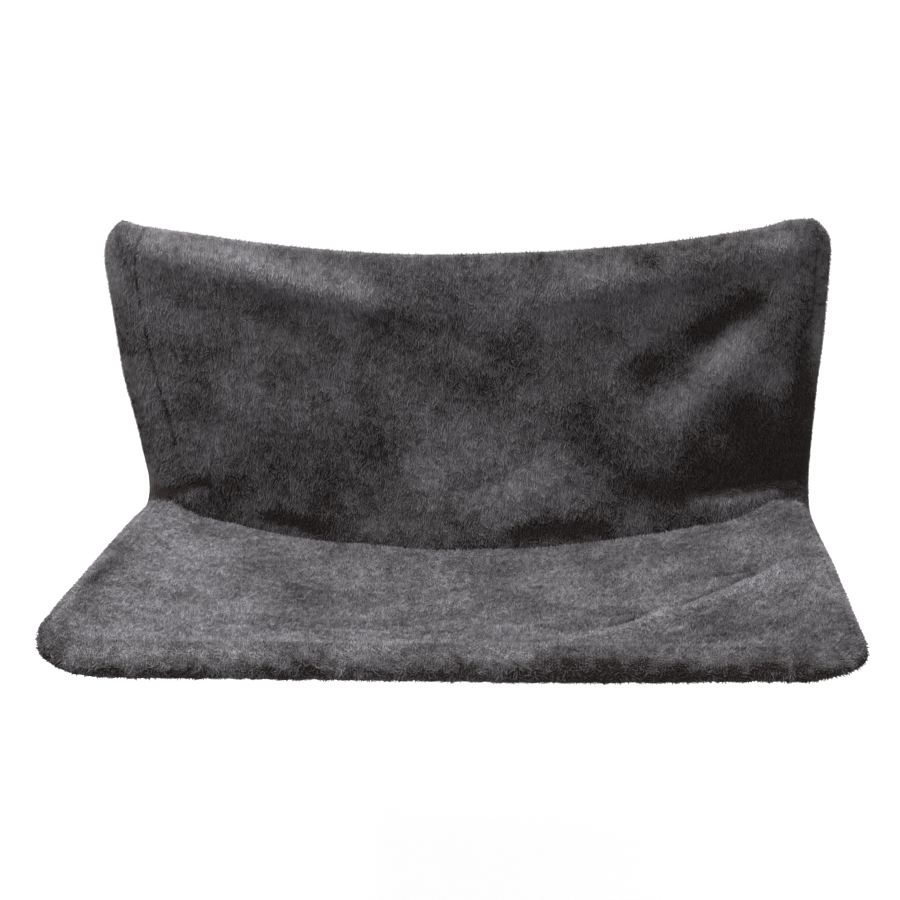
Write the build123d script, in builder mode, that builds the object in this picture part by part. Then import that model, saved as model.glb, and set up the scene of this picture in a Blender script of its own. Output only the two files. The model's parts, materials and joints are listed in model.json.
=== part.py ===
# Radiator cat bed: a plush sling on a bent tube frame, hung on a radiator by two sliding hooks
#
# Axes: +X to the right as seen from the front, +Y towards the radiator, +Z up, in millimetres.
# The origin is on the centre plane, at the front edge of the radiator's top: the hooks rest on
# the plane z = 0 and the rubber bumpers rest on the plane y = 0.

import os
from math import cos, exp, hypot, pi, radians, sin, sqrt

from build123d import *

os.makedirs("parts", exist_ok=True)

# Frame tubes
frame_width = 440.0
back_height = 196.0
seat_depth = 285.0
seat_rise_degrees = 15.0
crease_drop = 138.0
tube_diameter = 12.0
tube_wall = 1.2
side_bend_radius = 22.0
front_corner_radius = 45.0
front_leg_length = 90.0
bar_standoff = 14.0

# Fits shared by all pieces
push_clearance = 0.05
slide_clearance = 0.2
seat_clearance = 0.1
overrun = 2.0

# Cross bars and the stubs that carry them
upper_bar_drop = 3.0
lower_bar_drop = 98.0
stub_length = 28.0
bar_end_gap = 0.5

# Spigots in the seat arm joints, held by flush set screws
spigot_length = 64.0
spigot_wall = 1.8
set_screw_radius = 2.0
set_screw_length = 3.4
set_screw_sink = 0.6
set_screw_offset = 16.0
set_screw_socket_radius = 1.1
set_screw_socket_depth = 1.6

# Pan head screws for the cross bars and the brackets
screw_radius = 2.0
screw_head_radius = 3.6
screw_head_height = 2.0
screw_head_round = 0.8
cross_screw_length = 8.0
bracket_screw_length = 6.0
bracket_screw_spacing = 16.0

# Tube caps
cap_head_height = 3.0
cap_stem_length = 12.0
cap_round = 1.5

# Hooks: strap, lining and end cap
hook_inset = 45.0
radiator_depth_min = 62.0
hook_travel = 45.0
strap_width = 20.0
strap_thickness = 3.0
strap_bend_radius = 4.0
strap_end_round = 4.0
hook_leg_length = 50.0
pad_thickness = 1.5
tip_cover = 13.0
tip_base = 2.0
tip_round = 1.2

# Hook clamp: slotted bracket, welded stud, washer and wing nut
bracket_thickness = 2.5
bracket_lip_thickness = 2.5
flange_drop = 7.0
stud_radius = 3.0
stud_setback = 8.0
stud_front_margin = 12.0
stud_height = 16.5
stud_chamfer = 0.6
washer_radius = 7.0
washer_thickness = 1.5
nut_base_radius = 6.0
nut_top_radius = 5.0
nut_height = 7.0
wing_span = 30.0
wing_height = 14.0
wing_thickness = 2.4
wing_root_height = 2.0
wing_round = 3.0

# Rubber bumpers
bumper_inset = 70.0
bumper_width = 26.0
bumper_height = 18.0
bumper_grip = 3.0
bumper_round = 2.5

# Plush cover: sleeves round the tubes, back panel and seat panel
sleeve_wall = 4.0
sleeve_clearance = 0.3
sleeve_headroom = 8.0
sleeve_top_round = 9.0
front_sleeve_lead = 20.0
buttonhole_clearance = 0.5
back_cloth = 4.0
panel_inset = 6.0
panel_bar_gap = 0.7
back_top_drop = 1.0
back_top_sag = 23.0
back_fullness = 2.0
back_curve_share = 4.6
back_ridge_height = 4.5
back_ridge_depth = 1.0
back_ridge_slant = 23.0
back_trough_step = 30.0
back_trough_lift = 1.6
back_down_shares = [0.5, 0.66, 0.8, 0.92, 1]
ridge_fade_share = 6
edge_fade_share = 8
seam_clearance = 0.3
seat_cloth = 10.0
rim_lead = 14.0
rim_shift = 31.0
rim_rise = 8.0
rim_sag = 28.0
rim_left_share = 0.62
rim_right_share = 0.95
nose_share = 0.42
belly_place = 125.0
belly_rise = 5.0
belly_sag = 31.0
seat_edge_start = 190.0
seat_edge_rise = 7.0
seat_front_tuck = 0.3
seat_fold_start = (69.0, 242.0)
seat_fold_end = (189.0, 138.0)
seat_fold_height = 3.4
seat_fold_width = 15.0
back_station_shares = [-1, -0.78, -0.52, -0.26, 0, 0.26, 0.52, 0.78, 1]
seat_station_shares = [-1, -0.9, -0.74, -0.55, -0.37, -0.18, 0, 0.18, 0.37, 0.55, 0.74, 0.9, 1]
seat_along_shares = [0.17, 0.34, 0.5, 0.67, 0.84]

# Sizes that follow from the values above
half_width = frame_width / 2
hook_reach = half_width - hook_inset
bumper_reach = half_width - bumper_inset
tube_radius = tube_diameter / 2
bore_radius = tube_radius - tube_wall
sleeve_inner = tube_radius + sleeve_clearance
sleeve_outer = sleeve_inner + sleeve_wall
upright_y = -bar_standoff
crease_z = -crease_drop
upright_top_z = crease_z + back_height
strap_bottom_z = pad_thickness
strap_top_z = strap_bottom_z + strap_thickness
bracket_bottom_z = strap_top_z + slide_clearance
bracket_top_z = bracket_bottom_z + bracket_thickness
bar_back_y = upright_y + tube_radius
flange_back_y = bar_back_y + bracket_thickness
cap_top_z = upright_top_z + cap_head_height
sleeve_top_z = cap_top_z + sleeve_clearance + sleeve_headroom + sleeve_wall
rise_cos = cos(radians(seat_rise_degrees))
rise_sin = sin(radians(seat_rise_degrees))


# A point of the seat plane: along the seat from the crease, and above the seat arms' centre lines
def seat_point(along, above):
    y = upright_y - along * rise_cos + above * rise_sin
    z = crease_z + along * rise_sin + above * rise_cos
    return (y, z)


# Centre line of a side tube, from a height on the upright to a place along the seat arm
def side_route(side, top_z, arm_end):
    x = side * half_width
    corner_y, corner_z = seat_point(0, 0)
    end_y, end_z = seat_point(arm_end, 0)
    points = [(x, corner_y, top_z), (x, corner_y, corner_z), (x, end_y, end_z)]
    return FilletPolyline(*points, radius=side_bend_radius, mode=Mode.PRIVATE)


# Centre line of the front bar, from a place along the left seat arm round to the same on the right
def front_route(leg_start):
    points = []
    for x, along in (
        (-half_width, leg_start),
        (-half_width, seat_depth),
        (half_width, seat_depth),
        (half_width, leg_start),
    ):
        y, z = seat_point(along, 0)
        points.append((x, y, z))
    return FilletPolyline(*points, radius=front_corner_radius, mode=Mode.PRIVATE)


# Round rod along a route, joined to the part or cut from it
def round_rod(route, radius, mode=Mode.ADD):
    with BuildSketch(Plane(origin=route @ 0, z_dir=route % 0)) as section:
        Circle(radius)
    sweep(sections=section.sketch, path=route, mode=mode)


# Plane across a seat arm's tube, seen from below, at a place along the seat
def seat_underside_plane(x, along, below):
    y, z = seat_point(along, -below)
    return Plane(origin=(x, y, z), x_dir=(1, 0, 0), z_dir=(0, rise_sin, rise_cos))


set_screw_places = [
    seat_depth - front_leg_length - set_screw_offset,
    seat_depth - front_leg_length + set_screw_offset,
]
cross_bar_heights = [-upper_bar_drop, -lower_bar_drop]
cross_screw_x = half_width - tube_radius - stub_length / 2


# Side tube: upright, bend and seat arm, with two welded stubs for the cross bars
def make_side_tube(side):
    outer_route = side_route(side, upright_top_z, seat_depth - front_leg_length)
    inner_route = side_route(side, upright_top_z + overrun, seat_depth - front_leg_length + overrun)
    stub_end = half_width - tube_radius - stub_length
    with BuildPart() as tube:
        round_rod(outer_route, tube_radius)
        for bar_z in cross_bar_heights:
            with BuildSketch(Plane.YZ.offset(side * stub_end)):
                with Locations((upright_y, bar_z)):
                    Circle(bore_radius - push_clearance)
            extrude(amount=side * (half_width - stub_end))
        round_rod(inner_route, bore_radius, mode=Mode.SUBTRACT)
        for bar_z in cross_bar_heights:
            with BuildSketch(Plane.XY.offset(bar_z)):
                with Locations((side * cross_screw_x, upright_y)):
                    Circle(screw_radius)
            extrude(amount=tube_radius, both=True, mode=Mode.SUBTRACT)
        place = set_screw_places[0]
        with BuildSketch(seat_underside_plane(side * half_width, place, tube_radius + overrun)):
            Circle(set_screw_radius)
        extrude(amount=tube_radius, mode=Mode.SUBTRACT)
    return tube.part


left_side_tube = make_side_tube(-1)
right_side_tube = make_side_tube(1)
left_side_tube.label = "left_side_tube"
right_side_tube.label = "right_side_tube"
export_step(left_side_tube, "parts/left_side_tube.step")
export_step(right_side_tube, "parts/right_side_tube.step")

# Front bar: one U-shaped tube in the seat's plane
front_bar_route = front_route(seat_depth - front_leg_length)
front_bore_route = front_route(seat_depth - front_leg_length - overrun)
with BuildPart() as front_bar:
    round_rod(front_bar_route, tube_radius)
    round_rod(front_bore_route, bore_radius, mode=Mode.SUBTRACT)
    for side in (-1, 1):
        with BuildSketch(
            seat_underside_plane(side * half_width, set_screw_places[1], tube_radius + overrun)
        ):
            Circle(set_screw_radius)
        extrude(amount=tube_radius, mode=Mode.SUBTRACT)
front_bar.part.label = "front_bar"
export_step(front_bar.part, "parts/front_bar.step")


# Spigot: a short tube that joins a seat arm to a leg of the front bar
def make_spigot(side):
    start_y, start_z = seat_point(seat_depth - front_leg_length - spigot_length / 2, 0)
    arm_plane = Plane(
        origin=(side * half_width, start_y, start_z),
        x_dir=(1, 0, 0),
        z_dir=(0, -rise_cos, rise_sin),
    )
    with BuildPart() as spigot:
        with BuildSketch(arm_plane):
            Circle(bore_radius - push_clearance)
            Circle(bore_radius - push_clearance - spigot_wall, mode=Mode.SUBTRACT)
        extrude(amount=spigot_length)
        for place in set_screw_places:
            with BuildSketch(seat_underside_plane(side * half_width, place, tube_radius)):
                Circle(set_screw_radius)
            extrude(amount=tube_radius, mode=Mode.SUBTRACT)
    return spigot.part


left_joint_spigot = make_spigot(-1)
right_joint_spigot = make_spigot(1)
left_joint_spigot.label = "left_joint_spigot"
right_joint_spigot.label = "right_joint_spigot"
export_step(left_joint_spigot, "parts/left_joint_spigot.step")
export_step(right_joint_spigot, "parts/right_joint_spigot.step")

# Four set screws, sunk below the tubes' surface, from the underside of the joints
with BuildPart() as joint_set_screws:
    for side in (-1, 1):
        for place in set_screw_places:
            head_plane = seat_underside_plane(
                side * half_width, place, tube_radius - set_screw_sink
            )
            with BuildSketch(head_plane):
                Circle(set_screw_radius - push_clearance)
            extrude(amount=set_screw_length)
            with BuildSketch(head_plane):
                RegularPolygon(radius=set_screw_socket_radius, side_count=6)
            extrude(amount=set_screw_socket_depth, mode=Mode.SUBTRACT)
joint_set_screws.part.label = "joint_set_screws"
export_step(joint_set_screws.part, "parts/joint_set_screws.step")


# Plastic plug with a domed head for the upper end of an upright
def make_tube_cap(side):
    with BuildPart() as cap:
        with BuildSketch(Plane.XY.offset(upright_top_z)):
            with Locations((side * half_width, upright_y)):
                Circle(tube_radius)
        extrude(amount=cap_head_height)
        fillet(cap.edges().group_by(Axis.Z)[-1], radius=cap_round)
        with BuildSketch(Plane.XY.offset(upright_top_z)):
            with Locations((side * half_width, upright_y)):
                Circle(bore_radius - push_clearance)
        extrude(amount=-cap_stem_length)
    return cap.part


left_tube_cap = make_tube_cap(-1)
right_tube_cap = make_tube_cap(1)
left_tube_cap.label = "left_tube_cap"
right_tube_cap.label = "right_tube_cap"
export_step(left_tube_cap, "parts/left_tube_cap.step")
export_step(right_tube_cap, "parts/right_tube_cap.step")

bar_half_length = half_width - tube_radius - bar_end_gap


# Cross bar: a straight tube over the stubs, with a screw hole near each end
def round_bar(bar_z):
    with BuildSketch(Plane.YZ.offset(-bar_half_length)) as ring:
        with Locations((upright_y, bar_z)):
            Circle(tube_radius)
            Circle(bore_radius, mode=Mode.SUBTRACT)
    extrude(ring.sketch, amount=2 * bar_half_length)
    with BuildSketch(Plane.XY.offset(bar_z - tube_radius - overrun)) as holes:
        with Locations((-cross_screw_x, upright_y), (cross_screw_x, upright_y)):
            Circle(screw_radius)
    extrude(holes.sketch, amount=tube_radius, mode=Mode.SUBTRACT)


hook_places = [-hook_reach, hook_reach]
bracket_screw_places = []
for hook_x in hook_places:
    bracket_screw_places.append(hook_x - bracket_screw_spacing / 2)
    bracket_screw_places.append(hook_x + bracket_screw_spacing / 2)

# Upper cross bar, drilled from behind for the four bracket screws
with BuildPart() as upper_cross_bar:
    round_bar(-upper_bar_drop)
    with BuildSketch(Plane.XZ.offset(-bar_back_y - overrun)):
        with Locations(*[(x, -upper_bar_drop) for x in bracket_screw_places]):
            Circle(screw_radius)
    extrude(amount=tube_radius, mode=Mode.SUBTRACT)
upper_cross_bar.part.label = "upper_cross_bar"
export_step(upper_cross_bar.part, "parts/upper_cross_bar.step")

# Lower cross bar, plain between its screws
with BuildPart() as lower_cross_bar:
    round_bar(-lower_bar_drop)
lower_cross_bar.part.label = "lower_cross_bar"
export_step(lower_cross_bar.part, "parts/lower_cross_bar.step")


# Pan head screw on a plane at its head's seat, with the shank along the plane's normal
def pan_screw(seat_plane, shank_length):
    with BuildSketch(seat_plane) as shank:
        Circle(screw_radius - push_clearance)
    extrude(shank.sketch, amount=shank_length)
    with BuildSketch(seat_plane) as head:
        Circle(screw_head_radius)
    extrude(head.sketch, amount=-screw_head_height)


# Four screws that lock the cross bars on their stubs, from below
with BuildPart() as cross_bar_screws:
    for bar_z in cross_bar_heights:
        for side in (-1, 1):
            pan_screw(
                Plane(origin=(side * cross_screw_x, upright_y, bar_z - tube_radius)),
                cross_screw_length,
            )
    for bar_z in cross_bar_heights:
        rim_z = bar_z - tube_radius - screw_head_height
        rims = cross_bar_screws.edges().filter_by_position(
            Axis.Z, rim_z - push_clearance, rim_z + push_clearance
        )
        fillet(rims, radius=screw_head_round)
cross_bar_screws.part.label = "cross_bar_screws"
export_step(cross_bar_screws.part, "parts/cross_bar_screws.step")

# Four screws that hold the two hook brackets on the upper cross bar, from behind
with BuildPart() as bracket_screws:
    for screw_x in bracket_screw_places:
        pan_screw(
            Plane(origin=(screw_x, flange_back_y, -upper_bar_drop), z_dir=(0, -1, 0)),
            bracket_screw_length,
        )
    fillet(bracket_screws.edges().group_by(Axis.Y)[-1], radius=screw_head_round)
bracket_screws.part.label = "bracket_screws"
export_step(bracket_screws.part, "parts/bracket_screws.step")


# Hook bracket: a slotted plate over the strap, lips beside it and a flange behind the cross bar
def make_hook_bracket(hook_x):
    guide_half = strap_width / 2 + slide_clearance
    outer_width = 2 * (guide_half + bracket_lip_thickness)
    slot_half_width = stud_radius + slide_clearance
    slot_center = stud_setback + hook_travel / 2
    with BuildPart() as bracket:
        with BuildSketch(Plane.XY.offset(bracket_bottom_z)):
            with Locations((hook_x, (bar_back_y + radiator_depth_min) / 2)):
                Rectangle(outer_width, radiator_depth_min - bar_back_y)
            with Locations((hook_x, slot_center)):
                SlotCenterToCenter(
                    hook_travel, 2 * slot_half_width, rotation=90, mode=Mode.SUBTRACT
                )
        extrude(amount=bracket_thickness)
        with BuildSketch(Plane.XY.offset(bracket_bottom_z)):
            with Locations((hook_x, radiator_depth_min / 2)):
                Rectangle(outer_width, radiator_depth_min)
                Rectangle(2 * guide_half, radiator_depth_min, mode=Mode.SUBTRACT)
        extrude(amount=slide_clearance - strap_thickness)
        with BuildSketch(Plane.XZ.offset(-bar_back_y)):
            with Locations((hook_x, (bracket_bottom_z - upper_bar_drop - flange_drop) / 2)):
                Rectangle(outer_width, bracket_bottom_z + upper_bar_drop + flange_drop)
        extrude(amount=-bracket_thickness)
        with BuildSketch(Plane.XZ.offset(-flange_back_y - overrun)):
            with Locations((hook_x, -upper_bar_drop)):
                with GridLocations(bracket_screw_spacing, 0, 2, 1):
                    Circle(screw_radius)
        extrude(amount=bracket_thickness + 2 * overrun, mode=Mode.SUBTRACT)
    return bracket.part


# Flat steel hook: a strap over the radiator's top, bent down behind it
def make_hook(hook_x):
    centre_z = strap_bottom_z + strap_thickness / 2
    leg_y = radiator_depth_min + pad_thickness + strap_thickness / 2
    front_y = stud_setback - stud_front_margin
    route = FilletPolyline(
        (hook_x, front_y, centre_z),
        (hook_x, leg_y, centre_z),
        (hook_x, leg_y, -hook_leg_length),
        radius=strap_bend_radius + strap_thickness / 2,
    )
    with BuildPart() as hook:
        with BuildSketch(Plane(origin=route @ 0, x_dir=(1, 0, 0), z_dir=(0, 1, 0))) as section:
            Rectangle(strap_width, strap_thickness)
        sweep(sections=section.sketch, path=route)
        fillet(
            hook.edges().filter_by(Axis.Z).group_by(Axis.Y)[0],
            radius=strap_end_round,
        )
    return hook.part


# Soft lining glued on the side of the hook that touches the radiator
def make_hook_pad(hook_x):
    centre_z = pad_thickness / 2
    leg_y = radiator_depth_min + pad_thickness / 2
    route = FilletPolyline(
        (hook_x, 0, centre_z),
        (hook_x, leg_y, centre_z),
        (hook_x, leg_y, tip_cover + seat_clearance - hook_leg_length),
        radius=strap_bend_radius - pad_thickness / 2,
    )
    with BuildPart() as pad:
        with BuildSketch(Plane(origin=route @ 0, x_dir=(1, 0, 0), z_dir=(0, 1, 0))) as section:
            Rectangle(strap_width, pad_thickness)
        sweep(sections=section.sketch, path=route)
    return pad.part


# Plastic cap over the end of the hook's rear leg
def make_hook_tip(hook_x):
    leg_y = radiator_depth_min + pad_thickness + strap_thickness / 2
    pocket_width = strap_width + 2 * push_clearance
    pocket_depth = strap_thickness + 2 * push_clearance
    tip_wall = pad_thickness - push_clearance
    with BuildPart() as tip:
        with BuildSketch(Plane.XY.offset(-hook_leg_length - tip_base)):
            with Locations((hook_x, leg_y)):
                Rectangle(pocket_width + 2 * tip_wall, pocket_depth + 2 * tip_wall)
        extrude(amount=tip_base + tip_cover)
        fillet(tip.edges().filter_by(Axis.Z), radius=tip_round)
        with BuildSketch(Plane.XY.offset(-hook_leg_length - push_clearance)):
            with Locations((hook_x, leg_y)):
                Rectangle(pocket_width, pocket_depth)
        extrude(amount=tip_cover + overrun, mode=Mode.SUBTRACT)
    return tip.part


# Threaded stud that stands on the strap and runs in the bracket's slot
def make_stud(hook_x):
    with BuildPart() as stud:
        with BuildSketch(Plane.XY.offset(strap_top_z)):
            with Locations((hook_x, stud_setback)):
                Circle(stud_radius)
        extrude(amount=stud_height)
        chamfer(stud.edges().group_by(Axis.Z)[-1], length=stud_chamfer)
    return stud.part


washer_bottom_z = bracket_top_z + seat_clearance
nut_bottom_z = washer_bottom_z + washer_thickness + seat_clearance


# Washer between the bracket and the wing nut
def make_washer(hook_x):
    with BuildPart() as washer:
        with BuildSketch(Plane.XY.offset(washer_bottom_z)):
            with Locations((hook_x, stud_setback)):
                Circle(washer_radius)
                Circle(stud_radius + slide_clearance, mode=Mode.SUBTRACT)
        extrude(amount=washer_thickness)
    return washer.part


# Wing nut: a tapered hub with two raised wings
def make_wing_nut(hook_x):
    with BuildPart() as nut:
        with BuildSketch(Plane.XY.offset(nut_bottom_z)):
            with Locations((hook_x, stud_setback)):
                Circle(nut_base_radius)
        with BuildSketch(Plane.XY.offset(nut_bottom_z + nut_height)):
            with Locations((hook_x, stud_setback)):
                Circle(nut_top_radius)
        loft(ruled=True)
        with BuildSketch(Plane.XZ.offset(-stud_setback)) as wings:
            with Locations((hook_x, nut_bottom_z)):
                Polygon(
                    (0, wing_root_height),
                    (nut_base_radius, wing_root_height),
                    (wing_span / 2, wing_height - nut_height / 2),
                    (wing_span / 2, wing_height),
                    (nut_base_radius + wing_round, wing_height),
                    (nut_top_radius, nut_height),
                    (0, nut_height),
                    align=None,
                )
                Polygon(
                    (0, wing_root_height),
                    (-nut_base_radius, wing_root_height),
                    (-wing_span / 2, wing_height - nut_height / 2),
                    (-wing_span / 2, wing_height),
                    (-nut_base_radius - wing_round, wing_height),
                    (-nut_top_radius, nut_height),
                    (0, nut_height),
                    align=None,
                )
            fillet(wings.vertices().group_by(Axis.Y)[-1], radius=wing_round)
        extrude(amount=wing_thickness / 2, both=True)
        with BuildSketch(Plane.XY.offset(nut_bottom_z - overrun)):
            with Locations((hook_x, stud_setback)):
                Circle(stud_radius + seat_clearance)
        extrude(amount=wing_height + 2 * overrun, mode=Mode.SUBTRACT)
    return nut.part


hook_piece_makers = {
    "hook_bracket": make_hook_bracket,
    "hook": make_hook,
    "hook_pad": make_hook_pad,
    "hook_tip": make_hook_tip,
    "hook_stud": make_stud,
    "washer": make_washer,
    "wing_nut": make_wing_nut,
}
for side_name, hook_x in zip(("left", "right"), hook_places):
    for piece_name, maker in hook_piece_makers.items():
        piece = maker(hook_x)
        piece.label = f"{side_name}_{piece_name}"
        export_step(piece, f"parts/{piece.label}.step")


# Rubber bumper clipped on the lower cross bar from behind, its flat face on the radiator
def make_bumper(bumper_x):
    front_y = upright_y - bumper_grip
    with BuildPart() as bumper:
        with BuildSketch(Plane.YZ.offset(bumper_x - bumper_width / 2)):
            with Locations((front_y / 2, -lower_bar_drop)):
                Rectangle(-front_y, bumper_height)
        extrude(amount=bumper_width)
        fillet(bumper.faces().sort_by(Axis.Y)[-1].edges(), radius=bumper_round)
        with BuildSketch(Plane.YZ.offset(bumper_x - bumper_width / 2 - overrun)):
            with Locations((upright_y, -lower_bar_drop)):
                Circle(tube_radius + push_clearance)
        extrude(amount=bumper_width + 2 * overrun, mode=Mode.SUBTRACT)
    return bumper.part


for side_name, side in (("left", -1), ("right", 1)):
    piece = make_bumper(side * bumper_reach)
    piece.label = f"{side_name}_bumper"
    export_step(piece, f"parts/{piece.label}.step")

side_sleeve_end = seat_depth - front_corner_radius - front_sleeve_lead


# Side sleeve: the plush channel round one side tube, closed over the tube cap
def make_side_sleeve(side):
    outer_route = side_route(side, sleeve_top_z, side_sleeve_end)
    inner_route = side_route(side, sleeve_top_z - sleeve_wall, side_sleeve_end + overrun)
    with BuildPart() as sleeve:
        round_rod(outer_route, sleeve_outer)
        fillet(sleeve.edges().group_by(Axis.Z)[-1], radius=sleeve_top_round)
        round_rod(inner_route, sleeve_inner, mode=Mode.SUBTRACT)
        for bar_z in cross_bar_heights:
            with BuildSketch(Plane.YZ.offset(side * half_width)):
                with Locations((upright_y, bar_z)):
                    Circle(tube_radius + buttonhole_clearance)
            extrude(amount=-side * (sleeve_outer + overrun), mode=Mode.SUBTRACT)
    return sleeve.part


left_sleeve = make_side_sleeve(-1)
right_sleeve = make_side_sleeve(1)
left_sleeve.label = "left_sleeve"
right_sleeve.label = "right_sleeve"
export_step(left_sleeve, "parts/left_sleeve.step")
export_step(right_sleeve, "parts/right_sleeve.step")

# Front sleeve: the rolled front edge with its two rounded corners
front_sleeve_route = front_route(side_sleeve_end)
front_sleeve_bore_route = front_route(side_sleeve_end - overrun)
with BuildPart() as front_sleeve:
    round_rod(front_sleeve_route, sleeve_outer)
    round_rod(front_sleeve_bore_route, sleeve_inner, mode=Mode.SUBTRACT)
front_sleeve.part.label = "front_sleeve"
export_step(front_sleeve.part, "parts/front_sleeve.step")

# Solid sleeves, used to cut the panels to the sleeves' surface
envelope_routes = [
    side_route(-1, sleeve_top_z + overrun, side_sleeve_end),
    side_route(1, sleeve_top_z + overrun, side_sleeve_end),
    front_sleeve_route,
]
with BuildPart() as sleeve_envelope:
    for route in envelope_routes:
        round_rod(route, sleeve_outer)

panel_half_width = half_width - panel_inset


# How far the cloth hangs between the side tubes: none at them, all of it in the middle
def hang_share(x):
    return 1 - (x / half_width) ** 2


# Rear rim of the seat panel: its crest, and the tip of its rounded nose
def rim_crest(x):
    side_share = rim_left_share if x < 0 else rim_right_share
    along = rim_lead + rim_shift * hang_share(x)
    return (along, rim_rise - rim_sag * hang_share(x) ** side_share)


def rim_nose(x):
    along, above = rim_crest(x)
    return seat_point(along - nose_share * seat_cloth, above - seat_cloth / 2)


# Front face of the back panel: points from its top edge over the slanting fold that comes from the
# upper corner, and down to the seam at the rim, where the cloth swings forward
def back_face(x):
    hang = hang_share(x)
    edge_fade = 1 - abs(x / half_width) ** edge_fade_share
    face_y = upright_y - tube_radius - panel_bar_gap - back_cloth
    top_z = sleeve_top_z - back_top_drop - back_top_sag * hang
    nose_y, nose_z = rim_nose(x)
    seam_y = nose_y + seam_clearance
    drop = top_z - nose_z
    ridge_depth = back_ridge_depth + back_ridge_slant * hang
    ridge_lift = back_ridge_height * edge_fade * (1 - hang**ridge_fade_share)
    places = [(0, 0), (ridge_depth / drop, ridge_lift)]
    places.append(((ridge_depth + back_trough_step) / drop, back_trough_lift * edge_fade))
    places += [(down_share, 0) for down_share in back_down_shares]
    points = []
    for down, lift in places:
        swing = (seam_y - face_y) * down**back_curve_share
        full = back_fullness * edge_fade * (1 - down**2)
        points.append((face_y + swing - full - lift, top_z - drop * down))
    return points


# Back panel: hanging plush with its two slanting folds
with BuildPart() as back_panel:
    for share in back_station_shares:
        x = share * panel_half_width
        face = back_face(x)
        rear = [(y + back_cloth, z) for y, z in face]
        with BuildSketch(Plane.YZ.offset(x)):
            with BuildLine():
                Spline(*face)
                Line(face[-1], rear[-1])
                Spline(*reversed(rear))
                Line(rear[0], face[0])
            make_face()
    loft()
    add(sleeve_envelope.part, mode=Mode.SUBTRACT)
back_panel.part.label = "back_panel"
export_step(back_panel.part, "parts/back_panel.step")

front_end = seat_depth - panel_inset
front_rise = sqrt(sleeve_outer**2 - panel_inset**2) - seat_front_tuck


# How much of the seat's slanting fold is felt at a place: all on its line, fading away from it
def fold_share(x, along):
    run_x, run_along = [end - start for start, end in zip(seat_fold_start, seat_fold_end)]
    from_x, from_along = x - seat_fold_start[0], along - seat_fold_start[1]
    length = hypot(run_x, run_along)
    run_share = (from_x * run_x + from_along * run_along) / length**2
    across = (from_x * run_along - from_along * run_x) / length
    past = max(0, -run_share, run_share - 1) * length
    return exp(-((across / seat_fold_width) ** 2) - (past / seat_fold_width) ** 2)


# Height of the seat's top above the seat arms' plane: from the rim's crest down to the belly, up
# to the front, and up to the sleeves at the sides
def seat_above(x, along):
    crest_along, crest_above = rim_crest(x)
    front_along = front_end + overrun
    edge_share = (abs(x) - seat_edge_start) / (panel_half_width - seat_edge_start)
    edge_ease = (1 - cos(pi * min(1, max(0, edge_share)))) / 2
    belly_above = belly_rise - belly_sag * hang_share(x)
    belly_above += (seat_edge_rise - belly_above) * edge_ease
    crest_part = (along - belly_place) * (along - front_along)
    crest_part /= (crest_along - belly_place) * (crest_along - front_along)
    belly_part = (along - crest_along) * (along - front_along)
    belly_part /= (belly_place - crest_along) * (belly_place - front_along)
    front_part = (along - crest_along) * (along - belly_place)
    front_part /= (front_along - crest_along) * (front_along - belly_place)
    above = crest_part * crest_above + belly_part * belly_above + front_part * front_rise
    return above + seat_fold_height * fold_share(x, along)


# Seat panel: thicker plush that sags between the tubes, with a rounded rim at the rear.
# The loft runs a little past the panel's outline, which then trims it.
with BuildPart() as seat_panel:
    for share in seat_station_shares:
        x = share * (panel_half_width + overrun)
        crest_along = rim_crest(x)[0]
        top = []
        for along_share in [0, *seat_along_shares, 1]:
            along = crest_along + (front_end + overrun - crest_along) * along_share
            top.append((along, seat_above(x, along)))
        face = [seat_point(along, above) for along, above in top]
        under = [seat_point(along, above - seat_cloth) for along, above in top]
        with BuildSketch(Plane.YZ.offset(x)):
            with BuildLine():
                Spline(*face)
                Line(face[-1], under[-1])
                Spline(*reversed(under))
                ThreePointArc(under[0], rim_nose(x), face[0])
            make_face()
    loft()
    outline_plane = Plane(
        origin=(0, *seat_point(0, 0)), x_dir=(1, 0, 0), z_dir=(0, rise_sin, rise_cos)
    )
    with BuildSketch(outline_plane) as outline:
        with Locations((0, -front_end)):
            Rectangle(
                2 * panel_half_width, front_end + half_width, align=(Align.CENTER, Align.MIN)
            )
        fillet(
            outline.vertices().sort_by(Axis.Y)[:2],
            radius=front_corner_radius - panel_inset,
        )
    extrude(amount=half_width, both=True, mode=Mode.INTERSECT)
    add(sleeve_envelope.part, mode=Mode.SUBTRACT)
seat_panel.part.label = "seat_panel"
export_step(seat_panel.part, "parts/seat_panel.step")
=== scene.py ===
import json
import math

import bmesh
import bpy
import numpy as np
from mathutils import Matrix, Vector, noise


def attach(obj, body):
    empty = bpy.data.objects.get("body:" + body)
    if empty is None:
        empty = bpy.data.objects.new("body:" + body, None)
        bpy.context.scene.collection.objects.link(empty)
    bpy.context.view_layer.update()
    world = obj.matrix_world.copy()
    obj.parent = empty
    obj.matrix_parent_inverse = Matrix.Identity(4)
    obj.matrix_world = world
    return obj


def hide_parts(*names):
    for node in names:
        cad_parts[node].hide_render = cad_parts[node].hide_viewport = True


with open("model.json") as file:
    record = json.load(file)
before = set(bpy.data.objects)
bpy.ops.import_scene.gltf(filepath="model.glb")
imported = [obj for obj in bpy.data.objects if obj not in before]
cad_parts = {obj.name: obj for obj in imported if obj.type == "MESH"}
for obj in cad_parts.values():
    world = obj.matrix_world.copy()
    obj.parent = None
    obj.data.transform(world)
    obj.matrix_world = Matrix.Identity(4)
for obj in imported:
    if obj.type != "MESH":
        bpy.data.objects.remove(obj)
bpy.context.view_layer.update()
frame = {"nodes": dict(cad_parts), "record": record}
scene = bpy.context.scene
print("frame loaded")

# Lengths are written in millimetres and turned into metres where they are used.
mm = 0.001

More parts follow.
